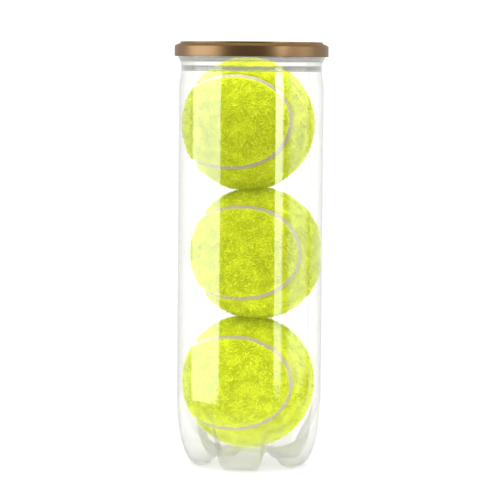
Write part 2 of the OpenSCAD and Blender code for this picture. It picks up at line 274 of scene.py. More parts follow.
def turned_coordinates(tree, stretch):
    """Coordinates for marks that run round the axis: fine across the turning, slow along it."""
    place = add_node(tree, "ShaderNodeTexCoord").outputs["Object"]
    split = add_node(tree, "ShaderNodeSeparateXYZ", {0: place})
    flat = add_node(tree, "ShaderNodeCombineXYZ", {0: split.outputs[0], 1: split.outputs[1]})
    radius = add_node(tree, "ShaderNodeVectorMath", {0: flat.outputs[0]}, operation="LENGTH")
    across = add_node(tree, "ShaderNodeMath", {0: radius.outputs["Value"], 1: split.outputs[2]})
    slow_x = add_node(tree, "ShaderNodeMath", {0: split.outputs[0], 1: stretch},
                      operation="MULTIPLY")
    slow_y = add_node(tree, "ShaderNodeMath", {0: split.outputs[1], 1: stretch},
                      operation="MULTIPLY")
    return add_node(tree, "ShaderNodeCombineXYZ", {
        0: slow_x.outputs[0], 1: slow_y.outputs[0], 2: across.outputs[0]}).outputs[0]


def clear_pet(s):
    # Polyethylene terephthalate, stretch-blown in a polished mould: clear, with a hard gloss that
    # grows at grazing angles. The neck's rings and the base stay thick, and a painted grey stands
    # on them for the dark room that their curved walls refract.
    material = new_material("clear_blown_pet")
    tree = material.node_tree
    where = add_node(tree, "ShaderNodeTexCoord").outputs["Object"]
    # Blown walls swell and thin by a few hundredths of a millimetre over 9 mm or so.
    ripple = add_node(tree, "ShaderNodeTexNoise", {
        "Vector": where, "Scale": scale_for(9), "Detail": 1.0})
    bump = add_node(tree, "ShaderNodeBump", {
        "Height": ripple.outputs["Fac"], "Strength": 0.05, "Distance": 0.0003})
    facing = add_node(tree, "ShaderNodeLayerWeight", {
        "Blend": 0.5, "Normal": bump.outputs[0]}).outputs["Facing"]
    grazing = add_node(tree, "ShaderNodeMath", {0: facing, 1: 5.0}, operation="POWER")
    # An IOR of 1.57 reflects 4.9% of light that meets the wall squarely.
    gleam = add_node(tree, "ShaderNodeMapRange", {
        "Value": grazing.outputs[0], 3: 0.049, 4: 1.0})
    through = add_node(tree, "ShaderNodeMix", {
        "Factor": facing, "A": rgba(s.clear), "B": rgba(s.tint)}, data_type="RGBA")
    clear = add_node(tree, "ShaderNodeBsdfTransparent", {"Color": through.outputs["Result"]})
    gloss = add_node(tree, "ShaderNodeBsdfGlossy", {
        "Color": (1, 1, 1, 1), "Roughness": s.gloss, "Normal": bump.outputs[0]})
    height = add_node(tree, "ShaderNodeSeparateXYZ", {0: where}).outputs[2]
    up_wall = add_node(tree, "ShaderNodeMapRange", {
        "Value": height, 1: s.base_h * MM, 2: s.shoulder_z * MM})
    # Painted shade: a grey matt layer, most in the neck's rings and the feet, where the curved
    # walls refract the dark room.
    painted_grey_colour = add_node(tree, "ShaderNodeMix", {
        "Factor": up_wall.outputs[0], "A": rgba(s.foot_painted_grey), "B": rgba(s.painted_grey)},
        data_type="RGBA")
    painted_grey = add_node(tree, "ShaderNodeBsdfDiffuse", {"Color": painted_grey_colour.outputs["Result"]})
    painted_grey_share = add_node(tree, "ShaderNodeAttribute", attribute_name="painted_grey").outputs["Fac"]
    wall = add_node(tree, "ShaderNodeMixShader", {
        0: painted_grey_share, 1: clear.outputs[0], 2: painted_grey.outputs[0]})
    shader = add_node(tree, "ShaderNodeMixShader", {
        0: gleam.outputs[0], 1: wall.outputs[0], 2: gloss.outputs[0]})
    add_node(tree, "ShaderNodeOutputMaterial", {"Surface": shader.outputs[0]})
    return material


def bronze_plastic(s):
    # Polypropylene filled with bronze pearl, injection moulded in a turned mould: satin metallic
    # gloss, drawn out round the cap in faint streaks that the mould's turning left. The top face
    # is etched, and matt.
    material = new_material("bronze_pearl_polypropylene")
    tree = material.node_tree
    turned = turned_coordinates(tree, 0.03)
    # Turning marks are about 0.1 mm apart; drawn 0.7 mm apart so that they show.
    streaks = add_node(tree, "ShaderNodeTexNoise", {
        "Vector": turned, "Scale": scale_for(0.7), "Detail": 3.0, "Roughness": 0.6})
    shade = add_node(tree, "ShaderNodeMapRange", {
        "Value": streaks.outputs["Fac"], 3: 0.92, 4: 1.06})
    body = add_node(tree, "ShaderNodeVectorMath", {
        0: s.bronze, "Scale": shade.outputs[0]}, operation="SCALE")
    bump = add_node(tree, "ShaderNodeBump", {
        "Height": streaks.outputs["Fac"], "Strength": 0.12, "Distance": 0.00005})
    way = add_node(tree, "ShaderNodeNewGeometry").outputs["Normal"]
    upward = add_node(tree, "ShaderNodeSeparateXYZ", {0: way}).outputs[2]
    rough = add_node(tree, "ShaderNodeMapRange", {
        "Value": upward, 1: 0.8, 2: 0.97, 3: s.roughness, 4: s.matt})
    clear_skin = add_node(tree, "ShaderNodeMapRange", {
        "Value": upward, 1: 0.8, 2: 0.97, 3: s.lacquer, 4: 0.0})
    shader = add_node(tree, "ShaderNodeBsdfPrincipled", {
        "Base Color": body.outputs[0], "Metallic": s.metallic, "Roughness": rough.outputs[0],
        "Specular Tint": rgba(s.edge_tint), "Coat Weight": clear_skin.outputs[0],
        "Coat Roughness": 0.32,
        "Normal": bump.outputs[0]})
    add_node(tree, "ShaderNodeOutputMaterial", {"Surface": shader.outputs[0]})
    return material


def rolled_aluminium(s):
    # Lacquered aluminium sheet, cold rolled and pressed: bright, with the fine straight grain of
    # the rolls and a thin clear lacquer.
    material = new_material("rolled_aluminium_lacquered")
    tree = material.node_tree
    place = add_node(tree, "ShaderNodeTexCoord").outputs["Object"]
    drawn = add_node(tree, "ShaderNodeMapping", {"Vector": place, "Scale": (1.0, 0.03, 1.0)})
    # Roll marks are about 0.05 mm apart; drawn 0.4 mm apart so that they show.
    grain = add_node(tree, "ShaderNodeTexNoise", {
        "Vector": drawn.outputs[0], "Scale": scale_for(0.4), "Detail": 4.0})
    rough = add_node(tree, "ShaderNodeMapRange", {
        "Value": grain.outputs["Fac"], 3: 0.2, 4: 0.36})
    bump = add_node(tree, "ShaderNodeBump", {
        "Height": grain.outputs["Fac"], "Strength": 0.15, "Distance": 0.00003})
    shader = add_node(tree, "ShaderNodeBsdfPrincipled", {
        "Base Color": rgba(s.metal), "Metallic": 1.0, "Roughness": rough.outputs[0],
        "Normal": bump.outputs[0], "Coat Weight": 0.3, "Coat Roughness": 0.1})
    add_node(tree, "ShaderNodeOutputMaterial", {"Surface": shader.outputs[0]})
    return material


def needled_felt(s):
    # Needled felt of wool and nylon, dyed a fluorescent optic yellow and steamed: no gloss, a soft
    # pile with a pale bloom at grazing angles. Its colour holds painted shade and light: darker
    # deep between its tufts, lighter at its tips, and a faint painted glow of its own that lifts
    # its shade.
    material = new_material("needled_wool_felt")
    tree = material.node_tree
    where = add_node(tree, "ShaderNodeTexCoord").outputs["Object"]
    # Painted shade: the pile value is 0 on the sheet, low at the fibres' roots and high at their
    # tips.
    pile = add_node(tree, "ShaderNodeAttribute", attribute_name="pile").outputs["Fac"]
    # The pile parts and closes in patches about 6 mm across.
    patches = add_node(tree, "ShaderNodeTexNoise", {
        "Vector": where, "Scale": scale_for(6), "Detail": 2.0})
    # Specks about 0.8 mm across move the colour between the painted shade of the depth and the lit
    # tips.
    specks = add_node(tree, "ShaderNodeTexNoise", {
        "Vector": where, "Scale": scale_for(0.8), "Detail": 3.0, "Roughness": 0.7})
    mottle = add_node(tree, "ShaderNodeMath", {
        0: patches.outputs["Fac"], 1: specks.outputs["Fac"]})
    # Painted shade and light: the patches, the specks and the pile's value pick between the nap's
    # painted shade colour and its lit colour.
    height = add_node(tree, "ShaderNodeMath", {0: mottle.outputs[0], 1: pile})
    share = add_node(tree, "ShaderNodeMapRange", {
        "Value": height.outputs[0], 1: 0.9, 2: 1.75, 3: 0.0, 4: 1.0})
    body = add_node(tree, "ShaderNodeMix", {
        "Factor": share.outputs[0], "A": rgba(s.deep_felt), "B": rgba(s.lit_felt)},
        data_type="RGBA")
    bump = add_node(tree, "ShaderNodeBump", {
        "Height": specks.outputs["Fac"], "Strength": 0.5, "Distance": 0.0004})
    # The emission paints a glow onto the felt that no lamp makes.
    shader = add_node(tree, "ShaderNodeBsdfPrincipled", {
        "Base Color": body.outputs["Result"], "Roughness": 0.95, "Normal": bump.outputs[0],
        "Specular IOR Level": 0.05, "Sheen Weight": 1.0, "Sheen Roughness": 0.5,
        "Sheen Tint": rgba(s.bloom), "Emission Color": rgba(s.lit_felt),
        "Emission Strength": s.glow})
    add_node(tree, "ShaderNodeOutputMaterial", {"Surface": shader.outputs[0]})
    return material


def matt_rubber(name, rgb, grain_mm, roughness):
    # Filled rubber, moulded or cured in place: matt, even, with a fine stippled skin.
    material = new_material(name)
    tree = material.node_tree
    place = add_node(tree, "ShaderNodeTexCoord").outputs["Object"]
    stipple = add_node(tree, "ShaderNodeTexNoise", {
        "Vector": place, "Scale": scale_for(grain_mm), "Detail": 3.0})
    shade = add_node(tree, "ShaderNodeMapRange", {
        "Value": stipple.outputs["Fac"], 3: 0.86, 4: 1.08})
    body = add_node(tree, "ShaderNodeVectorMath", {
        0: rgb, "Scale": shade.outputs[0]}, operation="SCALE")
    bump = add_node(tree, "ShaderNodeBump", {
        "Height": stipple.outputs["Fac"], "Strength": 0.35, "Distance": 0.0002})
    shader = add_node(tree, "ShaderNodeBsdfPrincipled", {
        "Base Color": body.outputs[0], "Roughness": roughness, "Normal": bump.outputs[0]})
    add_node(tree, "ShaderNodeOutputMaterial", {"Surface": shader.outputs[0]})
    return material


def painted_board(s):
    # Painted board, lit from below through its face: an even matt white. Near the can it takes a
    # soft shadow, and farther off it is as bright as the backdrop.
    material = new_material("white_painted_board")
    tree = material.node_tree
    path = add_node(tree, "ShaderNodeLightPath")
    where = add_node(tree, "ShaderNodeTexCoord").outputs["Object"]
    distance = add_node(tree, "ShaderNodeVectorMath", {0: where}, operation="LENGTH")
    thrown = add_node(tree, "ShaderNodeMapRange", {
        "Value": distance.outputs["Value"], 1: 0.08, 2: 0.3, 3: s.floor_glow, 4: s.floor_far},
        interpolation_type="SMOOTHSTEP")
    far = add_node(tree, "ShaderNodeMapRange", {
        "Value": distance.outputs["Value"], 1: 0.25, 2: 0.6}, interpolation_type="SMOOTHSTEP")
    seen = add_node(tree, "ShaderNodeMapRange", {
        "Value": far.outputs[0], 3: s.near_glow, 4: s.backdrop})
    glow = add_node(tree, "ShaderNodeMix", {
        0: path.outputs["Is Camera Ray"], 2: thrown.outputs[0], 3: seen.outputs[0]})
    paint = add_node(tree, "ShaderNodeMix", {
        "Factor": far.outputs[0], "A": rgba(s.near_paint), "B": rgba(s.far_paint)},
        data_type="RGBA")
    board = add_node(tree, "ShaderNodeBsdfPrincipled", {
        "Base Color": paint.outputs["Result"], "Roughness": 0.9, "Specular IOR Level": 0.0,
        "Emission Color": rgba(s.white), "Emission Strength": glow.outputs[0]})
    add_node(tree, "ShaderNodeOutputMaterial", {"Surface": board.outputs[0]})
    return material


def softbox_cloth(radiance, soft_low, soft_high, dim_foot):
    # White diffusing cloth with a lamp behind it: even, and dimmer towards its frame.
    material = new_material("lit_softbox_cloth")
    tree = material.node_tree
    across = add_node(tree, "ShaderNodeTexCoord").outputs["Generated"]
    split = add_node(tree, "ShaderNodeSeparateXYZ", {0: across})
    ramps = [(0, 0.0, soft_low, 0.0, 1.0), (0, 1 - soft_high, 1.0, 1.0, 0.0),
             (1, 0.0, 0.06, 0.0, 1.0), (1, 0.94, 1.0, 1.0, 0.0), (1, 0.1, 0.9, dim_foot, 1.0)]
    strength = radiance
    for axis, start, end, low, high in ramps:
        ramp = add_node(tree, "ShaderNodeMapRange", {
            "Value": split.outputs[axis], 1: start, 2: end, 3: low, 4: high},
            interpolation_type="SMOOTHSTEP")
        strength = add_node(tree, "ShaderNodeMath", {
            0: ramp.outputs[0], 1: strength}, operation="MULTIPLY").outputs[0]
    path = add_node(tree, "ShaderNodeLightPath")
    share = add_node(tree, "ShaderNodeMapRange", {
        "Value": path.outputs["Is Glossy Ray"], 3: MATT_SHARE, 4: 1.0})
    strength = add_node(tree, "ShaderNodeMath", {
        0: share.outputs[0], 1: strength}, operation="MULTIPLY").outputs[0]
    cloth = add_node(tree, "ShaderNodeEmission", {"Strength": strength})
    add_node(tree, "ShaderNodeOutputMaterial", {"Surface": cloth.outputs[0]})
    return material


def coat(node_name, material):
    """Gives a CAD node a material of its own."""
    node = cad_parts[node_name]
    node.data.materials.clear()
    node.data.materials.append(material)


# ---- meshes ---------------------------------------------------------------------------------


def grid_faces(rows, columns, wrap_rows=False, wrap_columns=False):
    """The quads that join a grid of points, row by row."""
    i, j = np.meshgrid(np.arange(rows if wrap_rows else rows - 1),
                       np.arange(columns if wrap_columns else columns - 1), indexing="ij")
    below, right = (i + 1) % rows, (j + 1) % columns
    corners = [i * columns + j, i * columns + right, below * columns + right, below * columns + j]
    return np.stack(corners, -1).reshape(-1, 4)


def add_piece(name, points, faces, material, sharp_degrees=40, weld=True):
    """A mesh object from points in millimetres, with its doubled points welded."""
    mesh = bpy.data.meshes.new(name)
    corners = [[int(corner) for corner in face] for face in faces]
    mesh.from_pydata((np.asarray(points) * MM).tolist(), [], corners)
    if weld:
        bm = bmesh.new()
        bm.from_mesh(mesh)
        bmesh.ops.remove_doubles(bm, verts=bm.verts, dist=1e-7)
        bmesh.ops.recalc_face_normals(bm, faces=bm.faces)
        bm.to_mesh(mesh)
        bm.free()
    mesh.shade_smooth()
    if sharp_degrees:
        mesh.set_sharp_from_angle(angle=math.radians(sharp_degrees))
    mesh.materials.append(material)
    piece = bpy.data.objects.new(name, mesh)
    bpy.context.scene.collection.objects.link(piece)
    return piece


def place(piece, body, slot, *nodes):
    """Ties a piece to its body and hides the CAD nodes that it stands for; its slot only decides
    whether it throws shadow. The end and the overcap throw no shadow, so the top ball is as bright
    as the others."""
    piece.visible_shadow = slot not in ("can_metal", "cap_plastic")
    piece.visible_diffuse = piece.visible_shadow
    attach(piece, body)
    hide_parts(*nodes)


def join(*shapes):
    """Several (points, faces) as one. Faces may be triangles in one shape and quads in another."""
    points, faces, first = [], [], 0
    for shape_points, shape_faces in shapes:
        points.append(np.asarray(shape_points, float))
        faces += [[corner + first for corner in face] for face in shape_faces]
        first += len(shape_points)
    return np.concatenate(points), faces


def smooth_step(x, low, high):
    t = np.clip((x - low) / (high - low), 0, 1)
    return t * t * (3 - 2 * t)


def unit(v):
    return v / np.linalg.norm(v, axis=-1, keepdims=True)


def rounded(path, radius, steps=4):
    """The path with each inner corner replaced by a curve that starts radius away from it."""
    path = [np.array(p, float) for p in path]
    result = [path[0]]
    for before, corner, after in zip(path, path[1:], path[2:]):
        back, ahead = before - corner, after - corner
        reach = min(radius, 0.48 * np.linalg.norm(back), 0.48 * np.linalg.norm(ahead))
        start, end = corner + unit(back) * reach, corner + unit(ahead) * reach
        for t in np.linspace(0, 1, steps + 1):
            result.append((1 - t) ** 2 * start + 2 * t * (1 - t) * corner + t * t * end)
    result.append(path[-1])
    return np.array(result)


def strip(path, thickness):
    """The closed outline of a strip of even thickness along a path."""
    along = unit(np.gradient(path, axis=0))
    side = np.stack([-along[:, 1], along[:, 0]], -1) * thickness / 2
    return np.concatenate([path + side, (path - side)[::-1]])


def spin(outline, steps):
    """Points and faces of a closed outline of radius and height turned round the Z axis."""
    turn = np.linspace(0, 2 * math.pi, steps, endpoint=False)[:, None]
    radius, height = outline[:, 0], outline[:, 1]
    points = np.stack([radius * np.cos(turn), radius * np.sin(turn), height + 0 * turn], -1)
    return points.reshape(-1, 3), grid_faces(steps, len(outline), True, True)


def tube(line, radius, sides=10):
    """Points and faces of a closed tube along a closed line of points in a level plane."""
    line = np.asarray(line, float)
    along = unit(np.roll(line, -1, 0) - np.roll(line, 1, 0))
    up = np.array([0.0, 0.0, 1.0])
    out = unit(np.cross(along, up))
    turn = np.linspace(0, 2 * math.pi, sides, endpoint=False)[None, :, None]
    points = line[:, None] + radius * (np.cos(turn) * out[:, None] + np.sin(turn) * up)
    return points.reshape(-1, 3), grid_faces(len(line), sides, True, True)


def plate(name, outlines, low_z, high_z, edge):
    """Points and faces of a flat plate with rounded edges. The first outline is its outside."""
    curve = bpy.data.curves.new(name, "CURVE")
    curve.dimensions = "2D"
    curve.fill_mode = "BOTH"
    curve.extrude = (high_z - low_z) / 2 - edge
    curve.bevel_depth = edge
    curve.bevel_resolution = 2
    curve.offset = -edge
    for outline in outlines:
        spline = curve.splines.new("POLY")
        spline.points.add(len(outline) - 1)
        for point, (x, y) in zip(spline.points, outline):
            point.co = (x, y, 0, 1)
        spline.use_cyclic_u = True
    holder = bpy.data.objects.new(name, curve)
    bpy.context.scene.collection.objects.link(holder)
    bpy.context.view_layer.update()
    mesh = bpy.data.meshes.new_from_object(
        holder.evaluated_get(bpy.context.evaluated_depsgraph_get()))
    points = np.array([v.co for v in mesh.vertices]) + [0, 0, (low_z + high_z) / 2]
    faces = [list(p.vertices) for p in mesh.polygons]
    bpy.data.objects.remove(holder)
    bpy.data.curves.remove(curve)
    bpy.data.meshes.remove(mesh)
    return points, faces


def circle(centre_y, radius, steps=64):
    turn = np.linspace(0, 2 * math.pi, steps, endpoint=False)
    return np.stack([radius * np.cos(turn), centre_y + radius * np.sin(turn)], -1)


def at_height(outline, z):
    return np.column_stack([outline, np.full(len(outline), z)])


# ---- can ------------------------------------------------------------------------------------


def even(path, count):
    """The path again, as that many points an equal way apart."""
    gone = np.concatenate([[0], np.cumsum(np.linalg.norm(np.diff(path, axis=0), axis=-1))])
    at = np.linspace(0, gone[-1], count)
    return np.stack([np.interp(at, gone, path[:, 0]), np.interp(at, gone, path[:, 1])], -1)


def foot_path(s):
    """Radius and height from the base's middle over a foot and up its heel to the wall."""
    inner_r = np.linspace(0, s.pad_in_r, 26, endpoint=False)
    slope = s.foot_top_z * (s.pad_in_r - inner_r) / (s.pad_in_r - s.foot_top_r)
    inner = np.stack([inner_r, np.minimum(valley_height(inner_r, s), slope)], -1)
    pad = [(r, 0) for r in np.linspace(s.pad_in_r, s.pad_out_r, 8, endpoint=False)]
    turn = np.linspace(0, math.pi / 2, 36)
    heel = np.stack([s.pad_out_r + (s.wall_r - s.pad_out_r) * np.sin(turn),
                     s.heel_h * (1 - np.cos(turn))], -1)
    return np.concatenate([inner, pad, heel, [(s.wall_r, s.heel_h + 2), (s.wall_r, s.base_h)]])


def valley_height(radius, s):
    """Height of the valleys between the feet: low and flat inside, then steep up to the wall."""
    return s.dome_z + s.valley_rise * (radius / s.wall_r) ** 5


def channel_path(s, rows):
    """Radius and height along a valley, which sweeps up into the wall."""
    inner_r = np.linspace(0, s.pad_in_r, 26, endpoint=False)
    outer_r = np.linspace(s.pad_in_r, s.wall_r, 60)
    rise = np.stack([outer_r, valley_height(outer_r, s)], -1)
    outer = even(np.concatenate([rise, [(s.wall_r, s.base_h)]]), rows - len(inner_r))
    return np.concatenate([np.stack([inner_r, valley_height(inner_r, s)], -1), outer])


def wall_path(s):
    """Radius and height up the outside of the wall, round the neck and out along the flange."""
    ease = np.linspace(0, 1, 12)
    draw_r = s.neck_r + (s.wall_r - s.neck_r) * (1 + np.cos(math.pi * ease)) / 2
    draw_z = s.shoulder_z + (s.neck_z - 0.3 - s.shoulder_z) * ease
    straight = [(s.wall_r, z) for z in np.linspace(s.base_h + 4, s.shoulder_z - 4, 8)]
    groove_z = s.neck_z + 0.9
    hook_r = s.neck_r + 0.45
    neck = rounded([
        (s.neck_r, s.neck_z - 0.3),
        (s.neck_r, s.neck_z + 0.1),
        (s.neck_r - s.groove_t, groove_z),
        (s.neck_r - s.groove_t, groove_z + s.groove_w),
        (s.neck_r, groove_z + s.groove_w + 0.6),
        (s.neck_r, s.bead_z - 2.6),
        (s.bead_r, s.bead_z),
        (s.bead_r, s.bead_z + 0.7),
        (s.neck_r, s.bead_z + 1.9),
        (s.neck_r, s.flange_z),
        (hook_r, s.flange_z),
        (hook_r, s.hook_z),
    ], 0.5, 3)
    return np.concatenate([straight, np.stack([draw_r, draw_z], -1)[:-1], even(neck, 70)])


def can_surface(s):
    """A grid of points on the can's outside, from the middle of the base to the flange."""
    foot = foot_path(s)
    channel = channel_path(s, len(foot))
    gate = 0.6 * (1 - smooth_step(foot[:, 0], 5.5, 8))
    foot[:, 1] -= gate
    channel[:, 1] -= gate
    turn = np.linspace(0, 2 * math.pi, s.steps, endpoint=False)
    sector = 2 * math.pi / s.foot_count
    front = s.foot_turn - math.pi / 2
    from_foot = np.abs((turn - front + sector / 2) % sector - sector / 2)
    from_channel = foot[:, :1] * np.sin(sector / 2 - from_foot)
    # Under the can the feet slope gently into the valleys. On the heel the valley's edges are
    # crisp near the floor, and melt into the wall above.
    heel = smooth_step(foot[:, :1], s.pad_out_r - 3, s.pad_out_r + 3)
    melt = smooth_step(foot[:, 1:], 10, s.heel_h - 4) * heel
    start = s.valley_in * heel - 4 * melt
    end = s.valley_out - 1.6 * heel + 8 * melt
    on_foot = smooth_step(from_channel, start, end)
    base = channel[:, None] + (foot - channel)[:, None] * on_foot[..., None]
    wall = wall_path(s)[:, None] + 0 * turn[:, None]
    grid = np.concatenate([base, wall])
    ring_r, ring_z = grid[..., 0], grid[..., 1]
    return np.stack([ring_r * np.cos(turn), ring_r * np.sin(turn), ring_z], -1)


def inward_normals(grid):
    """Normals into the material at each point of a grid that closes on itself along its columns."""
    along = np.gradient(grid, axis=0)
    around = np.roll(grid, -1, 1) - np.roll(grid, 1, 1)
    normals = np.cross(around, along)
    sizes = np.linalg.norm(normals, axis=-1, keepdims=True)
    normals = np.where(sizes > 1e-9, -normals / np.maximum(sizes, 1e-9), [0.0, 0.0, 1.0])
    return normals


def can_inside_r(z, s):
    """Radius of the can's inside at a height."""
    wall = wall_path(s)
    rising = wall[:, 1] <= s.neck_z
    return np.interp(z, wall[rising, 1], wall[rising, 0]) - s.wall_t


def painted_grey_at(height, s):
    """How much painted grey each of the wall's surfaces takes at a height, standing in for the dark
    room that the curved walls refract: most in the neck's rings.
    """
    feet = [(0, 0.13), (9, 0.11), (s.heel_h - 13, 0.05), (s.heel_h - 4, 0.015), (s.base_h + 8, 0)]
    groove = [(0.1, 0), (0.4, 0.3), (0.9, 0.34), (1.4, 0.6), (2.5, 0.56), (2.9, 0.3), (3.2, 0.05)]
    bead = [(4.9, 0.05), (5.2, 0.25), (5.5, 0.55), (5.9, 0.3)]
    neck = [(s.neck_z + z, amount_there) for z, amount_there in groove + bead]
    return np.interp(height, *zip(*feet, *neck, (s.bead_z + 0.5, 0.36)))


def build_can(s):
    outside = can_surface(s)
    radius = np.linalg.norm(outside[..., :2], axis=-1)
    low = outside[..., 2] < s.heel_h
    extra = (s.gate_t - s.wall_t) * (1 - smooth_step(radius, 4, 16)) * low
    inside = outside + inward_normals(outside) * (s.wall_t + extra)[..., None]
    rows = len(outside)
    grid = np.concatenate([outside, inside[::-1]])
    points = grid.reshape(-1, 3)
    faces = grid_faces(2 * rows, s.steps, False, True)
    shell = add_piece("can_shell", points, faces, clear_pet(s), sharp_degrees=0)
    # Painted shade: each point takes its share of the grey layer by height.
    painted_grey = shell.data.attributes.new("painted_grey", "FLOAT", "POINT")
    height = np.array([v.co.z for v in shell.data.vertices]) / MM
    painted_grey.data.foreach_set("value", painted_grey_at(height, s).astype(np.float32))
    place(shell, "can", "clear_pet", "can_body")


# ---- metal end ------------------------------------------------------------------------------


def build_end_ring(s, can, metal):
    half = s.sheet_t / 2
    chuck_r = can.neck_r - can.wall_t - 0.05 - half
    sink_z = s.panel_z - 1.1
    low_z = s.seam_top_z - 3
    path = rounded([
        (s.mouth_r + half, s.panel_z - 0.35),
        (s.mouth_r + 0.5, s.panel_z),
        (s.mouth_r + 0.75, sink_z + 0.3),
        (s.mouth_r + 1.1, sink_z),
        (chuck_r - 0.25, sink_z),
        (chuck_r, sink_z + 0.4),
        (chuck_r, s.seam_top_z - half),
        (s.seam_r - half, s.seam_top_z - half),
        (s.seam_r - half, low_z + 0.1),
        (can.neck_r + 0.25, low_z),
        (can.neck_r + 0.2, low_z + 1.5),
    ], 0.55, 5)
    ring = add_piece("end_ring_seamed", *spin(strip(path, s.sheet_t), 240), metal)
    place(ring, "can", "can_metal", "end_ring")


def panel_height(x, y, s):
    """Height of the pressed panel over its flat, with its bead, its finger well and its score."""
    radius = np.hypot(x, y)
    bead = -0.35 * smooth_step(radius, 16, 16.8) * (1 - smooth_step(radius, 17.8, 18.6))
    well = -0.45 * np.exp(-((x / 7.5) ** 2 + ((y + 1.5) / 4.0) ** 2) ** 2)
    score = -0.06 * np.exp(-((radius - s.panel_r + 0.7) / 0.15) ** 2)
    return bead + well + score


def build_panel(s, metal):
    steps = 240
    turn = np.linspace(0, 2 * math.pi, steps, endpoint=False)
    radius = np.concatenate([np.linspace(0, s.panel_r - 1.2, 70), s.panel_r - np.array(
        [1.0, 0.85, 0.7, 0.55, 0.4, 0.1, 0.0])])[:, None]
    x, y = radius * np.cos(turn), radius * np.sin(turn)
    edge = 0.1 * smooth_step(radius, s.panel_r - 0.12, s.panel_r)
    height = s.panel_z + panel_height(x, y, s)
    top = np.stack([x, y, height + s.sheet_t / 2 - edge], -1)
    under = np.stack([x, y, height - s.sheet_t / 2 + edge], -1)
    grid = np.concatenate([top, under[::-1]])
    disc = grid.reshape(-1, 3), grid_faces(len(grid), steps, False, True)
    head_z = s.tab_z + 0.43
    rivet = spin(rounded([
        (0, s.panel_z), (1.4, s.panel_z), (1.4, head_z), (2.2, head_z), (2.2, head_z + 0.2),
        (1.6, head_z + 0.5), (0, head_z + 0.42)], 0.15, 3), 40)
    rivet = rivet[0] + [0, -s.rivet_y, 0], rivet[1]
    panel = add_piece("tear_panel_pressed", *join(disc, rivet), metal)
    place(panel, "panel", "can_metal", "tear_panel")


def build_tongue(s, metal):
    half = s.tongue_w / 2
    root = -s.hinge_y + 1.25
    arc = circle(-s.rivet_y, half, 33)[:17]
    outside = np.concatenate([[(-half, root), (half, root)], arc])
    blade = plate("tongue", [outside, circle(-s.rivet_y, 1.43, 32)],
                  s.tab_z + 0.02, s.tab_z + 0.4, 0.1)
    tongue = add_piece("rivet_tongue_cut", *blade, metal)
    place(tongue, "panel", "can_metal", "rivet_tongue")


def tab_outline(s, inset):
    """The tab's outline, from its nose round the finger ring and back."""
    half, centre = s.tab_w / 2 - inset, -s.ring_y
    radius = s.ring_r - inset
    meet = math.asin(half / radius)
    turn = np.linspace(-math.pi / 2 + meet + 0.12, 1.5 * math.pi - meet - 0.12, 60)
    ring = np.stack([radius * np.cos(turn), centre + radius * np.sin(turn)], -1)
    waist = -s.ring_y - s.ring_r - 0.6
    nose = -s.hinge_y + inset
    left = [(-half, waist), (-half, nose + 0.2)]
    right = [(half, nose + 0.2), (half, waist)]
    path = [ring[-1], *left, *right, ring[0]]
    return np.concatenate([ring[1:-1], rounded(path, 1.2, 4)])


def build_tab(s, metal):
    rim = s.tab_t / 2 - 0.02
    middle = s.tab_z + s.tab_t / 2
    half = s.tongue_w / 2 + 0.45
    arc = circle(-s.rivet_y, half, 33)[:17]
    slot = np.concatenate([[(-half, -s.hinge_y + 0.85), (half, -s.hinge_y + 0.85)], arc])
    hole = circle(-s.ring_y, s.hole_r + 0.25)
    web = plate("tab", [tab_outline(s, 0.3), hole, slot], middle - 0.35, middle + 0.35, 0.1)
    edge = tube(at_height(tab_outline(s, rim), middle), rim, 12)
    eye = tube(at_height(circle(-s.ring_y, s.hole_r + rim * 0.8), middle), rim * 0.8, 12)
    nose_end = s.tab_w / 2 - 0.3
    nose = spin(rounded([
        (0, -nose_end), (rim - 0.15, -nose_end), (rim, 0.15 - nose_end),
        (rim, nose_end - 0.15), (rim - 0.15, nose_end), (0, nose_end)], 0.2, 3), 24)
    lying = nose[0][:, [2, 1, 0]] + [0, -s.hinge_y, middle]
    tab = add_piece("pull_tab_curled", *join(web, edge, eye, (lying, nose[1])), metal)
    place(tab, "tab", "can_metal", "pull_tab")


# ---- overcap --------------------------------------------------------------------------------


def build_cap(s, end):
    inside = s.cap_r - s.wall_t
    under = end.seam_top_z + 0.15
    low_seam = end.seam_top_z - 3
    plate_z = s.top_z - 0.9
    outline = rounded([
        (0, plate_z - 1),
        (33.9, plate_z - 1),
        (34.6, under),
        (inside - 0.95, under),
        (inside, end.seam_top_z - 0.8),
        (inside, low_seam),
        (inside - 0.15, low_seam - 0.5),
        (inside, low_seam - 1),
        (inside, s.low_z),
        (s.cap_r, s.low_z),
        (s.cap_r, s.top_z - 2.2),
        (s.cap_r - 0.35, s.top_z - 1.85),
        (s.ring_r + 0.7, s.top_z - 1.0),
        (s.ring_r + 0.05, s.top_z - 0.85),
        (s.ring_r, s.top_z),
        (s.ring_r - 1.4, s.top_z),
        (s.ring_r - 1.8, plate_z),
        (0, plate_z),
    ], 0.22, 4)
    cap = add_piece("overcap_moulded", *spin(outline, 320), bronze_plastic(s))
    place(cap, "cap", "cap_plastic", "overcap")


# ---- balls ----------------------------------------------------------------------------------


def ball_centre(ball):
    """The middle of a ball's rubber core."""
    boxes = [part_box(ball + side) for side in ("_core_left", "_core_right")]
    low = [min(box[0][k] for box in boxes) for k in range(3)]
    high = [max(box[1][k] for box in boxes) for k in range(3)]
    return (np.array(low) + np.array(high)) / 2 / MM


def seam_point(t, s):
    b = s.swing
    return np.stack([(1 - b) * np.cos(t) + b * np.cos(3 * t),
                     (1 - b) * np.sin(t) - b * np.sin(3 * t),
                     2 * math.sqrt(b * (1 - b)) * np.sin(2 * t)], -1)


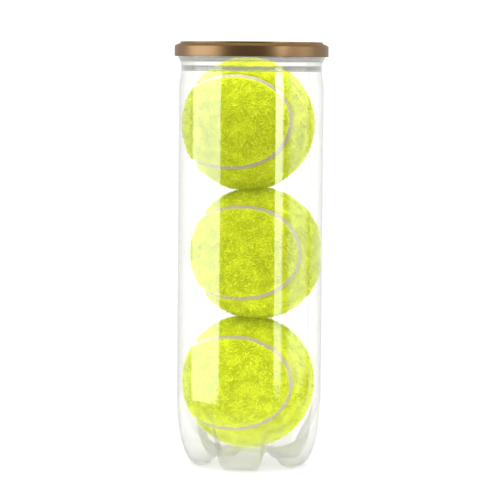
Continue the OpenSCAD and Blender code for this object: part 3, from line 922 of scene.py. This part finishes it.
def beside_seam(t, away, s):
    """Points beside the seam curve on a unit sphere, on the front panel's side."""
    b = s.swing
    along = unit(np.stack([-(1 - b) * np.sin(t) - 3 * b * np.sin(3 * t),
                           (1 - b) * np.cos(t) - 3 * b * np.cos(3 * t),
                           4 * math.sqrt(b * (1 - b)) * np.cos(2 * t)], -1))
    point = seam_point(t, s)
    return unit(point + np.cross(point, along) * away)


def felt_directions(s, rows, columns):
    """A grid of directions over the front felt panel, from the tip of one lobe to the other."""
    near_tip = math.radians(1.5)
    edge = (s.seam_w / 2 - 0.1) / s.felt_r
    t = np.linspace(-math.pi / 4 + near_tip, 3 * math.pi / 4 - near_tip, rows)
    a, b = beside_seam(t, edge, s), beside_seam(-math.pi / 2 - t, edge, s)
    apart = np.arccos(np.clip((a * b).sum(-1), -1, 1))[:, None, None]
    share = np.linspace(0, 1, columns)[None, :, None]
    return (a[:, None] * np.sin(apart * (1 - share)) + b[:, None] * np.sin(apart * share)) \
        / np.sin(apart)


def from_seam(directions, s):
    """Distance of each direction from the middle of the seam, over the felt."""
    seam = unit(seam_point(np.linspace(0, 2 * math.pi, 720, endpoint=False), s))
    nearest = (directions.reshape(-1, 3) @ seam.T).max(-1)
    return (np.arccos(np.clip(nearest, -1, 1)) * s.felt_r).reshape(directions.shape[:-1])


def swell(directions, size_mm, seed, s):
    """Smooth noise over the ball, with swells that many millimetres across."""
    scale = s.felt_r / size_mm
    shift = Vector((seed, 3 * seed, -seed))
    flat = directions.reshape(-1, 3)
    values = [noise.noise(Vector(d) * scale + shift) for d in flat]
    return np.array(values).reshape(directions.shape[:-1])


def ball_turn(s):
    """The rotation matrix of a ball: about X, then Y, then Z."""
    x, y, z = s.turn
    return Matrix.Rotation(z, 3, "Z") @ Matrix.Rotation(y, 3, "Y") @ Matrix.Rotation(x, 3, "X")


def turned(points, matrix):
    return points @ np.array(matrix).T


def pressed(points, ball, s, can):
    """The nap pressed flat where a ball meets its neighbour, the wall or the base."""
    centre = ball_centre(ball)
    for other in BALLS:
        way = ball_centre(other) - centre
        apart = np.linalg.norm(way)
        if other != ball and apart < 2.5 * s.felt_r:
            beyond = (points - centre) @ (way / apart) - (apart / 2 - 0.03)
            points = points - np.maximum(beyond, 0)[:, None] * way / apart
    radius = np.linalg.norm(points[:, :2], axis=-1)
    room = can_inside_r(points[:, 2], can) - 0.12
    points[:, :2] *= np.minimum(1, room / np.maximum(radius, 1e-6))[:, None]
    floor = valley_height(radius, can) + can.gate_t - 0.4
    points[:, 2] = np.maximum(points[:, 2], np.where(radius < 15, floor, -1e9))
    return points


def felt_sheet(s, directions, seed):
    """The felt panel itself: a closed sheet with rounded edges and an uneven face."""
    rows, columns = directions.shape[:2]
    away = from_seam(directions, s)
    dip = s.edge_drop * (1 - smooth_step(away, s.seam_w / 2 - 0.2, s.seam_w / 2 + 1.6))
    face_r = s.felt_r - dip + 0.22 * swell(directions, 3.5, seed, s) \
        + 0.12 * swell(directions, 1.4, seed + 5, s)
    top = directions * face_r[..., None]
    under = directions * s.felt_in_r
    rim = np.concatenate([
        np.arange(columns), np.arange(1, rows) * columns + columns - 1,
        (rows - 1) * columns + np.arange(columns - 2, -1, -1),
        np.arange(rows - 2, 0, -1) * columns])
    count = rows * columns
    following = np.roll(rim, -1)
    sides = np.stack([rim, following, following + count, rim + count], -1)
    top_faces = grid_faces(rows, columns)
    faces = np.concatenate([top_faces[:, ::-1], top_faces + count, sides])
    points = np.concatenate([top.reshape(-1, 3), under.reshape(-1, 3)])
    return points, faces, face_r


def felt_fibres(s, directions, face_r, seed):
    """Tufts and fibres of the nap: closed three-sided spikes that rise from the felt, bend and
    lie over."""
    draw = np.random.default_rng(seed)
    rows, columns = directions.shape[:2]
    count = s.tuft_count + s.fibre_count
    tuft = (np.arange(count) < s.tuft_count)[:, None]
    spans = np.linalg.norm(directions[:, 0] - directions[:, -1], axis=-1)
    widths = np.arccos(np.clip(1 - spans ** 2 / 2, -1, 1))
    row = draw.choice(rows - 1, count, p=widths[:-1] / widths[:-1].sum())
    u, v = draw.random(count), draw.random(count) * (columns - 1)
    column = np.minimum(v.astype(int), columns - 2)
    v = (v - column)[:, None]
    u = u[:, None]
    corners = [directions[row + i, column + j] for i in (0, 1) for j in (0, 1)]
    root = unit((corners[0] * (1 - v) + corners[1] * v) * (1 - u)
                + (corners[2] * (1 - v) + corners[3] * v) * u)
    root_r = face_r[row, column][:, None]
    # The nap leans in swirls about 14 mm across, and each fibre strays from its swirl.
    # The noise module would otherwise take its offsets from the clock, and differ on each run.
    noise.seed_set(SWIRL_SEED)
    shift = Vector((seed, 0, 7))
    lean = np.array([noise.noise_vector(Vector(d) * (s.felt_r / 14) + shift) for d in root])
    lean = lean + 0.3 * draw.normal(size=(count, 3))
    lean = unit(lean - (lean * root).sum(-1, keepdims=True) * root)
    # Fibres beside the seam are sheared short.
    free = np.clip((from_seam(root, s)[:, None] - s.seam_w / 2) / 2.5, 0.2, 1)
    reach = s.fibre_l * (0.4 + 0.6 * draw.random(count)[:, None]) * free
    rise = np.radians(draw.uniform(10, 34, count))[:, None]
    start = root * (root_r - 0.15)
    bend = start + reach * 0.5 * (lean * np.cos(rise) + root * np.sin(rise)) + root * 0.1
    tip = bend + reach * 0.5 * unit(lean + root * draw.uniform(-0.3, 0.35, count)[:, None]
                                    + 0.3 * draw.normal(size=(count, 3)))
    across = np.cross(lean, root)
    thick = np.where(tuft, s.tuft_t, s.fibre_t) * draw.uniform(0.6, 1.1, count)[:, None]
    points = np.empty((count, 7, 3))
    for k in range(3):
        way = math.radians(90 + 120 * k)
        side = (across * math.cos(way) + root * math.sin(way) * 0.6) * thick
        points[:, k] = start + side
        points[:, 3 + k] = bend + side * 0.8
    points[:, 6] = tip
    shape = [[0, 2, 1]]
    for k in range(3):
        nxt = (k + 1) % 3
        shape += [[k, nxt, 3 + nxt], [k, 3 + nxt, 3 + k], [3 + k, 3 + nxt, 6]]
    faces = (np.array(shape)[None] + 7 * np.arange(count)[:, None, None]).reshape(-1, 3)
    # Painted shade: each point's value, low at a fibre's root and high at its tip with a random
    # spread, paints the nap darker in its depth and lighter at its tips.
    shade = draw.uniform(-0.35, 0.35, count)[:, None] + np.array([0.1] * 3 + [0.45] * 3 + [0.7])
    return points.reshape(-1, 3), faces, shade.reshape(-1)


def build_felt(s, can, ball, panel, seed, material):
    directions = felt_directions(s, 190, 48)
    sheet, sheet_faces, face_r = felt_sheet(s, directions, seed)
    nap, nap_faces, shade = felt_fibres(s, directions, face_r, seed)
    matrix = ball_turn(s)
    if panel == "felt_back":
        matrix = matrix @ Matrix.Rotation(math.pi, 3, "X")
    points, faces = join((sheet, sheet_faces), (nap, nap_faces))
    points = pressed(turned(points, matrix) + ball_centre(ball), ball, s, can)
    felt = add_piece(f"{ball}_{panel}_nap", points, faces, material, 0, weld=False)
    # The sheet takes the value 0, the darkest painted shade.
    pile = felt.data.attributes.new("pile", "FLOAT", "POINT")
    values = np.concatenate([np.zeros(len(sheet)), shade]).astype(np.float32)
    pile.data.foreach_set("value", values)
    place(felt, ball, "felt", f"{ball}_{panel}")


def build_seam(s, can, ball, material):
    """The cement band, sunk between the felt's edges, with a slightly crowned face."""
    steps = 480
    t = np.linspace(0, 2 * math.pi, steps, endpoint=False)
    half = s.seam_w / 2 + 0.35
    across = np.linspace(-1, 1, 7)
    points = []
    for share in across:
        way = beside_seam(t, share * half / s.felt_r, s)
        rough = 0.06 * swell(way, 1.6, 2, s)
        points.append(way * (s.seam_r - 0.18 * share ** 2 + rough)[:, None])
    for share in (1, -1):
        points.append(beside_seam(t, share * half / s.felt_r, s) * (s.felt_in_r - 0.1))
    grid = np.stack(points, 1)
    faces = grid_faces(steps, len(points), True, True)
    placed = pressed(turned(grid.reshape(-1, 3), ball_turn(s)) + ball_centre(ball), ball, s, can)
    band = add_piece(f"{ball}_seam_band", placed, faces, material, 50)
    place(band, ball, "seam_cement", f"{ball}_seam")


# ---- stage ----------------------------------------------------------------------------------


def add_softbox(name, degrees, wide, low_z, high_z, cloth):
    """An upright softbox a metre from the can's axis, at an angle to the left of the front."""
    away = math.radians(degrees)
    facing = Vector((math.sin(away), math.cos(away), 0))
    corners = np.array([(-0.5, -0.5, 0), (0.5, -0.5, 0), (0.5, 0.5, 0), (-0.5, 0.5, 0)])
    size = np.array([wide, high_z - low_z, 0])
    softbox = add_piece(name, corners * size, [[0, 1, 2, 3]], cloth, 0)
    softbox.location = (*(-facing.xy), (low_z + high_z) / 2 * MM)
    softbox.rotation_euler = facing.to_track_quat("-Z", "Y").to_euler()
    softbox.visible_camera = False
    softbox.visible_shadow = False


def build_world(s):
    """White wherever the camera looks. Gloss sees a room that is dark behind the camera and above
    and dim below, and matt surfaces see one that is bright at the sides and above."""
    world = bpy.data.worlds.new("studio")
    bpy.context.scene.world = world
    world.use_nodes = True
    tree = world.node_tree
    tree.nodes.clear()
    way = add_node(tree, "ShaderNodeTexCoord").outputs["Generated"]
    split = add_node(tree, "ShaderNodeSeparateXYZ", {0: way})
    shiny = add_node(tree, "ShaderNodeMapRange", {
        "Value": split.outputs[1], 1: -0.85, 2: 0.45, 3: s.dark_side, 4: s.lit_side},
        interpolation_type="SMOOTHSTEP")
    ceiling = add_node(tree, "ShaderNodeMapRange", {
        "Value": split.outputs[2], 1: 0.15, 2: 0.6, 3: 1.0, 4: 0.3},
        interpolation_type="SMOOTHSTEP")
    ground = add_node(tree, "ShaderNodeMapRange", {
        "Value": split.outputs[2], 1: -0.5, 2: -0.06, 3: 0.5, 4: 1.0},
        interpolation_type="SMOOTHSTEP")
    level = add_node(tree, "ShaderNodeMath", {
        0: ground.outputs[0], 1: ceiling.outputs[0]}, operation="MULTIPLY")
    gloss = add_node(tree, "ShaderNodeMath", {
        0: shiny.outputs[0], 1: level.outputs[0]}, operation="MULTIPLY")
    sides = add_node(tree, "ShaderNodeMapRange", {
        "Value": split.outputs[1], 1: -0.55, 2: 0.4, 3: s.front_fill, 4: s.side_fill},
        interpolation_type="SMOOTHSTEP")
    above = add_node(tree, "ShaderNodeMapRange", {
        "Value": split.outputs[2], 1: 0.2, 2: 0.85, 3: 0.0, 4: s.top_fill},
        interpolation_type="SMOOTHSTEP")
    behind = add_node(tree, "ShaderNodeMapRange", {
        "Value": split.outputs[1], 1: 0.25, 2: 0.8, 3: 1.0, 4: s.back_share},
        interpolation_type="SMOOTHSTEP")
    around = add_node(tree, "ShaderNodeMath", {
        0: sides.outputs[0], 1: behind.outputs[0]}, operation="MULTIPLY")
    matt = add_node(tree, "ShaderNodeMath", {0: around.outputs[0], 1: above.outputs[0]})
    path = add_node(tree, "ShaderNodeLightPath")
    fill = add_node(tree, "ShaderNodeMix", {
        0: path.outputs["Is Glossy Ray"], 2: matt.outputs[0], 3: gloss.outputs[0]})
    strength = add_node(tree, "ShaderNodeMix", {
        0: path.outputs["Is Camera Ray"], 2: fill.outputs[0], 3: s.backdrop})
    background = add_node(tree, "ShaderNodeBackground", {
        "Color": rgba(s.white), "Strength": strength.outputs[0]})
    add_node(tree, "ShaderNodeOutputWorld", {"Surface": background.outputs[0]})


def build_floor(s):
    turn = np.linspace(0, 2 * math.pi, 96, endpoint=False)
    rings = [np.stack([r * np.cos(turn), r * np.sin(turn), 0 * turn], -1)
             for r in (0, 100, 400, 1500, 6000)]
    grid = np.concatenate(rings)
    board = add_piece("floor_board", grid, grid_faces(5, 96, False, True), painted_board(s))
    board.visible_glossy = False


def build_camera(s):
    camera = bpy.data.cameras.new("camera")
    camera.lens = s.lens
    camera.sensor_width = 36
    holder = bpy.data.objects.new("camera", camera)
    bpy.context.scene.collection.objects.link(holder)
    holder.matrix_world = Matrix.Translation((0, -s.camera_y * MM, s.camera_z * MM)) \
        @ Matrix.Rotation(math.pi / 2 - s.camera_tilt, 4, "X") \
        @ Matrix.Rotation(s.camera_roll, 4, "Z")
    bpy.context.scene.camera = holder


# ---- operators ------------------------------------------------------------------------------


class BALLCAN_OT_stage(bpy.types.Operator):
    """Sets the camera, the lights and the white floor"""
    bl_idname = "ball_can.stage"
    bl_label = "Stage"

    def execute(self, context):
        s = settings_of("stage")
        build_camera(s)
        build_world(s)
        build_floor(s)
        # Each softbox's radiance, its soft edges and dim foot, its angle, width and lower edge.
        for name, light, cloth, placed in (
                ("wide_softbox", s.wide_light, (0.15, 0.03, 0.85), (77.5, 1160, -130)),
                ("strip_softbox", s.strip_light, (0.08, 0.35, 0.35), (-46, 290, -100)),
                ("fill_softbox", s.fill_light, (0.3, 0.3, 0.8), (-82, 1000, -100))):
            add_softbox(name, *placed, s.softbox_top, softbox_cloth(light, *cloth))
        bpy.context.scene.view_settings.view_transform = "Standard"
        bpy.context.scene.view_settings.look = "None"
        return {"FINISHED"}


class BALLCAN_OT_can(bpy.types.Operator):
    """Builds the blown can with its petal base, neck and flange"""
    bl_idname = "ball_can.can"
    bl_label = "Clear can"

    def execute(self, context):
        build_can(settings_of("can"))
        return {"FINISHED"}


class BALLCAN_OT_metal_end(bpy.types.Operator):
    """Builds the seamed end, its torn-off panel and its pull tab, and coats the compound"""
    bl_idname = "ball_can.metal_end"
    bl_label = "Metal end"

    def execute(self, context):
        s, can = settings_of("end"), settings_of("can")
        metal = rolled_aluminium(s)
        build_end_ring(s, can, metal)
        build_panel(s, metal)
        build_tongue(s, metal)
        build_tab(s, metal)
        compound = matt_rubber("cured_sealing_compound", s.compound, 0.6, 0.6)
        coat("seam_sealant", compound)
        return {"FINISHED"}


class BALLCAN_OT_overcap(bpy.types.Operator):
    """Builds the bronze overcap with its stacking ring"""
    bl_idname = "ball_can.overcap"
    bl_label = "Overcap"

    def execute(self, context):
        build_cap(settings_of("cap"), settings_of("end"))
        return {"FINISHED"}


class BALLCAN_OT_balls(bpy.types.Operator):
    """Builds the felt panels and seams of the three balls, and coats their cores"""
    bl_idname = "ball_can.balls"
    bl_label = "Balls"

    def execute(self, context):
        s, can = settings_of("ball"), settings_of("can")
        felt = needled_felt(s)
        cement = matt_rubber("vulcanised_seam_cement", s.cement, 0.9, 0.8)
        rubber = matt_rubber("moulded_natural_rubber", s.rubber, 0.5, 0.7)
        for number, ball in enumerate(BALLS):
            for side, panel in enumerate(PANELS):
                build_felt(s, can, ball, panel, 10 * number + side + 1, felt)
            build_seam(s, can, ball, cement)
            for half in ("core_left", "core_right"):
                coat(f"{ball}_{half}", rubber)
        return {"FINISHED"}


OPERATORS = (BALLCAN_OT_stage, BALLCAN_OT_can, BALLCAN_OT_metal_end, BALLCAN_OT_overcap,
             BALLCAN_OT_balls)


class BALLCAN_PT_panel(bpy.types.Panel):
    """Lists the steps that build the can"""
    bl_idname = "BALLCAN_PT_panel"
    bl_label = "Tennis ball can"
    bl_space_type = "VIEW_3D"
    bl_region_type = "UI"
    bl_category = "Ball can"

    def draw(self, context):
        for operator in OPERATORS:
            self.layout.operator(operator.bl_idname)


CLASSES = (*SETTINGS.values(), *OPERATORS, BALLCAN_PT_panel)


def register():
    for cls in CLASSES:
        bpy.utils.register_class(cls)
    for part, group in SETTINGS.items():
        setattr(bpy.types.Scene, "ball_can_" + part, bpy.props.PointerProperty(type=group))


def unregister():
    for part in SETTINGS:
        delattr(bpy.types.Scene, "ball_can_" + part)
    for cls in reversed(CLASSES):
        bpy.utils.unregister_class(cls)


def main():
    register()
    bpy.ops.ball_can.stage()
    bpy.ops.ball_can.can()
    bpy.ops.ball_can.metal_end()
    bpy.ops.ball_can.overcap()
    bpy.ops.ball_can.balls()


if __name__ == "__main__":
    main()
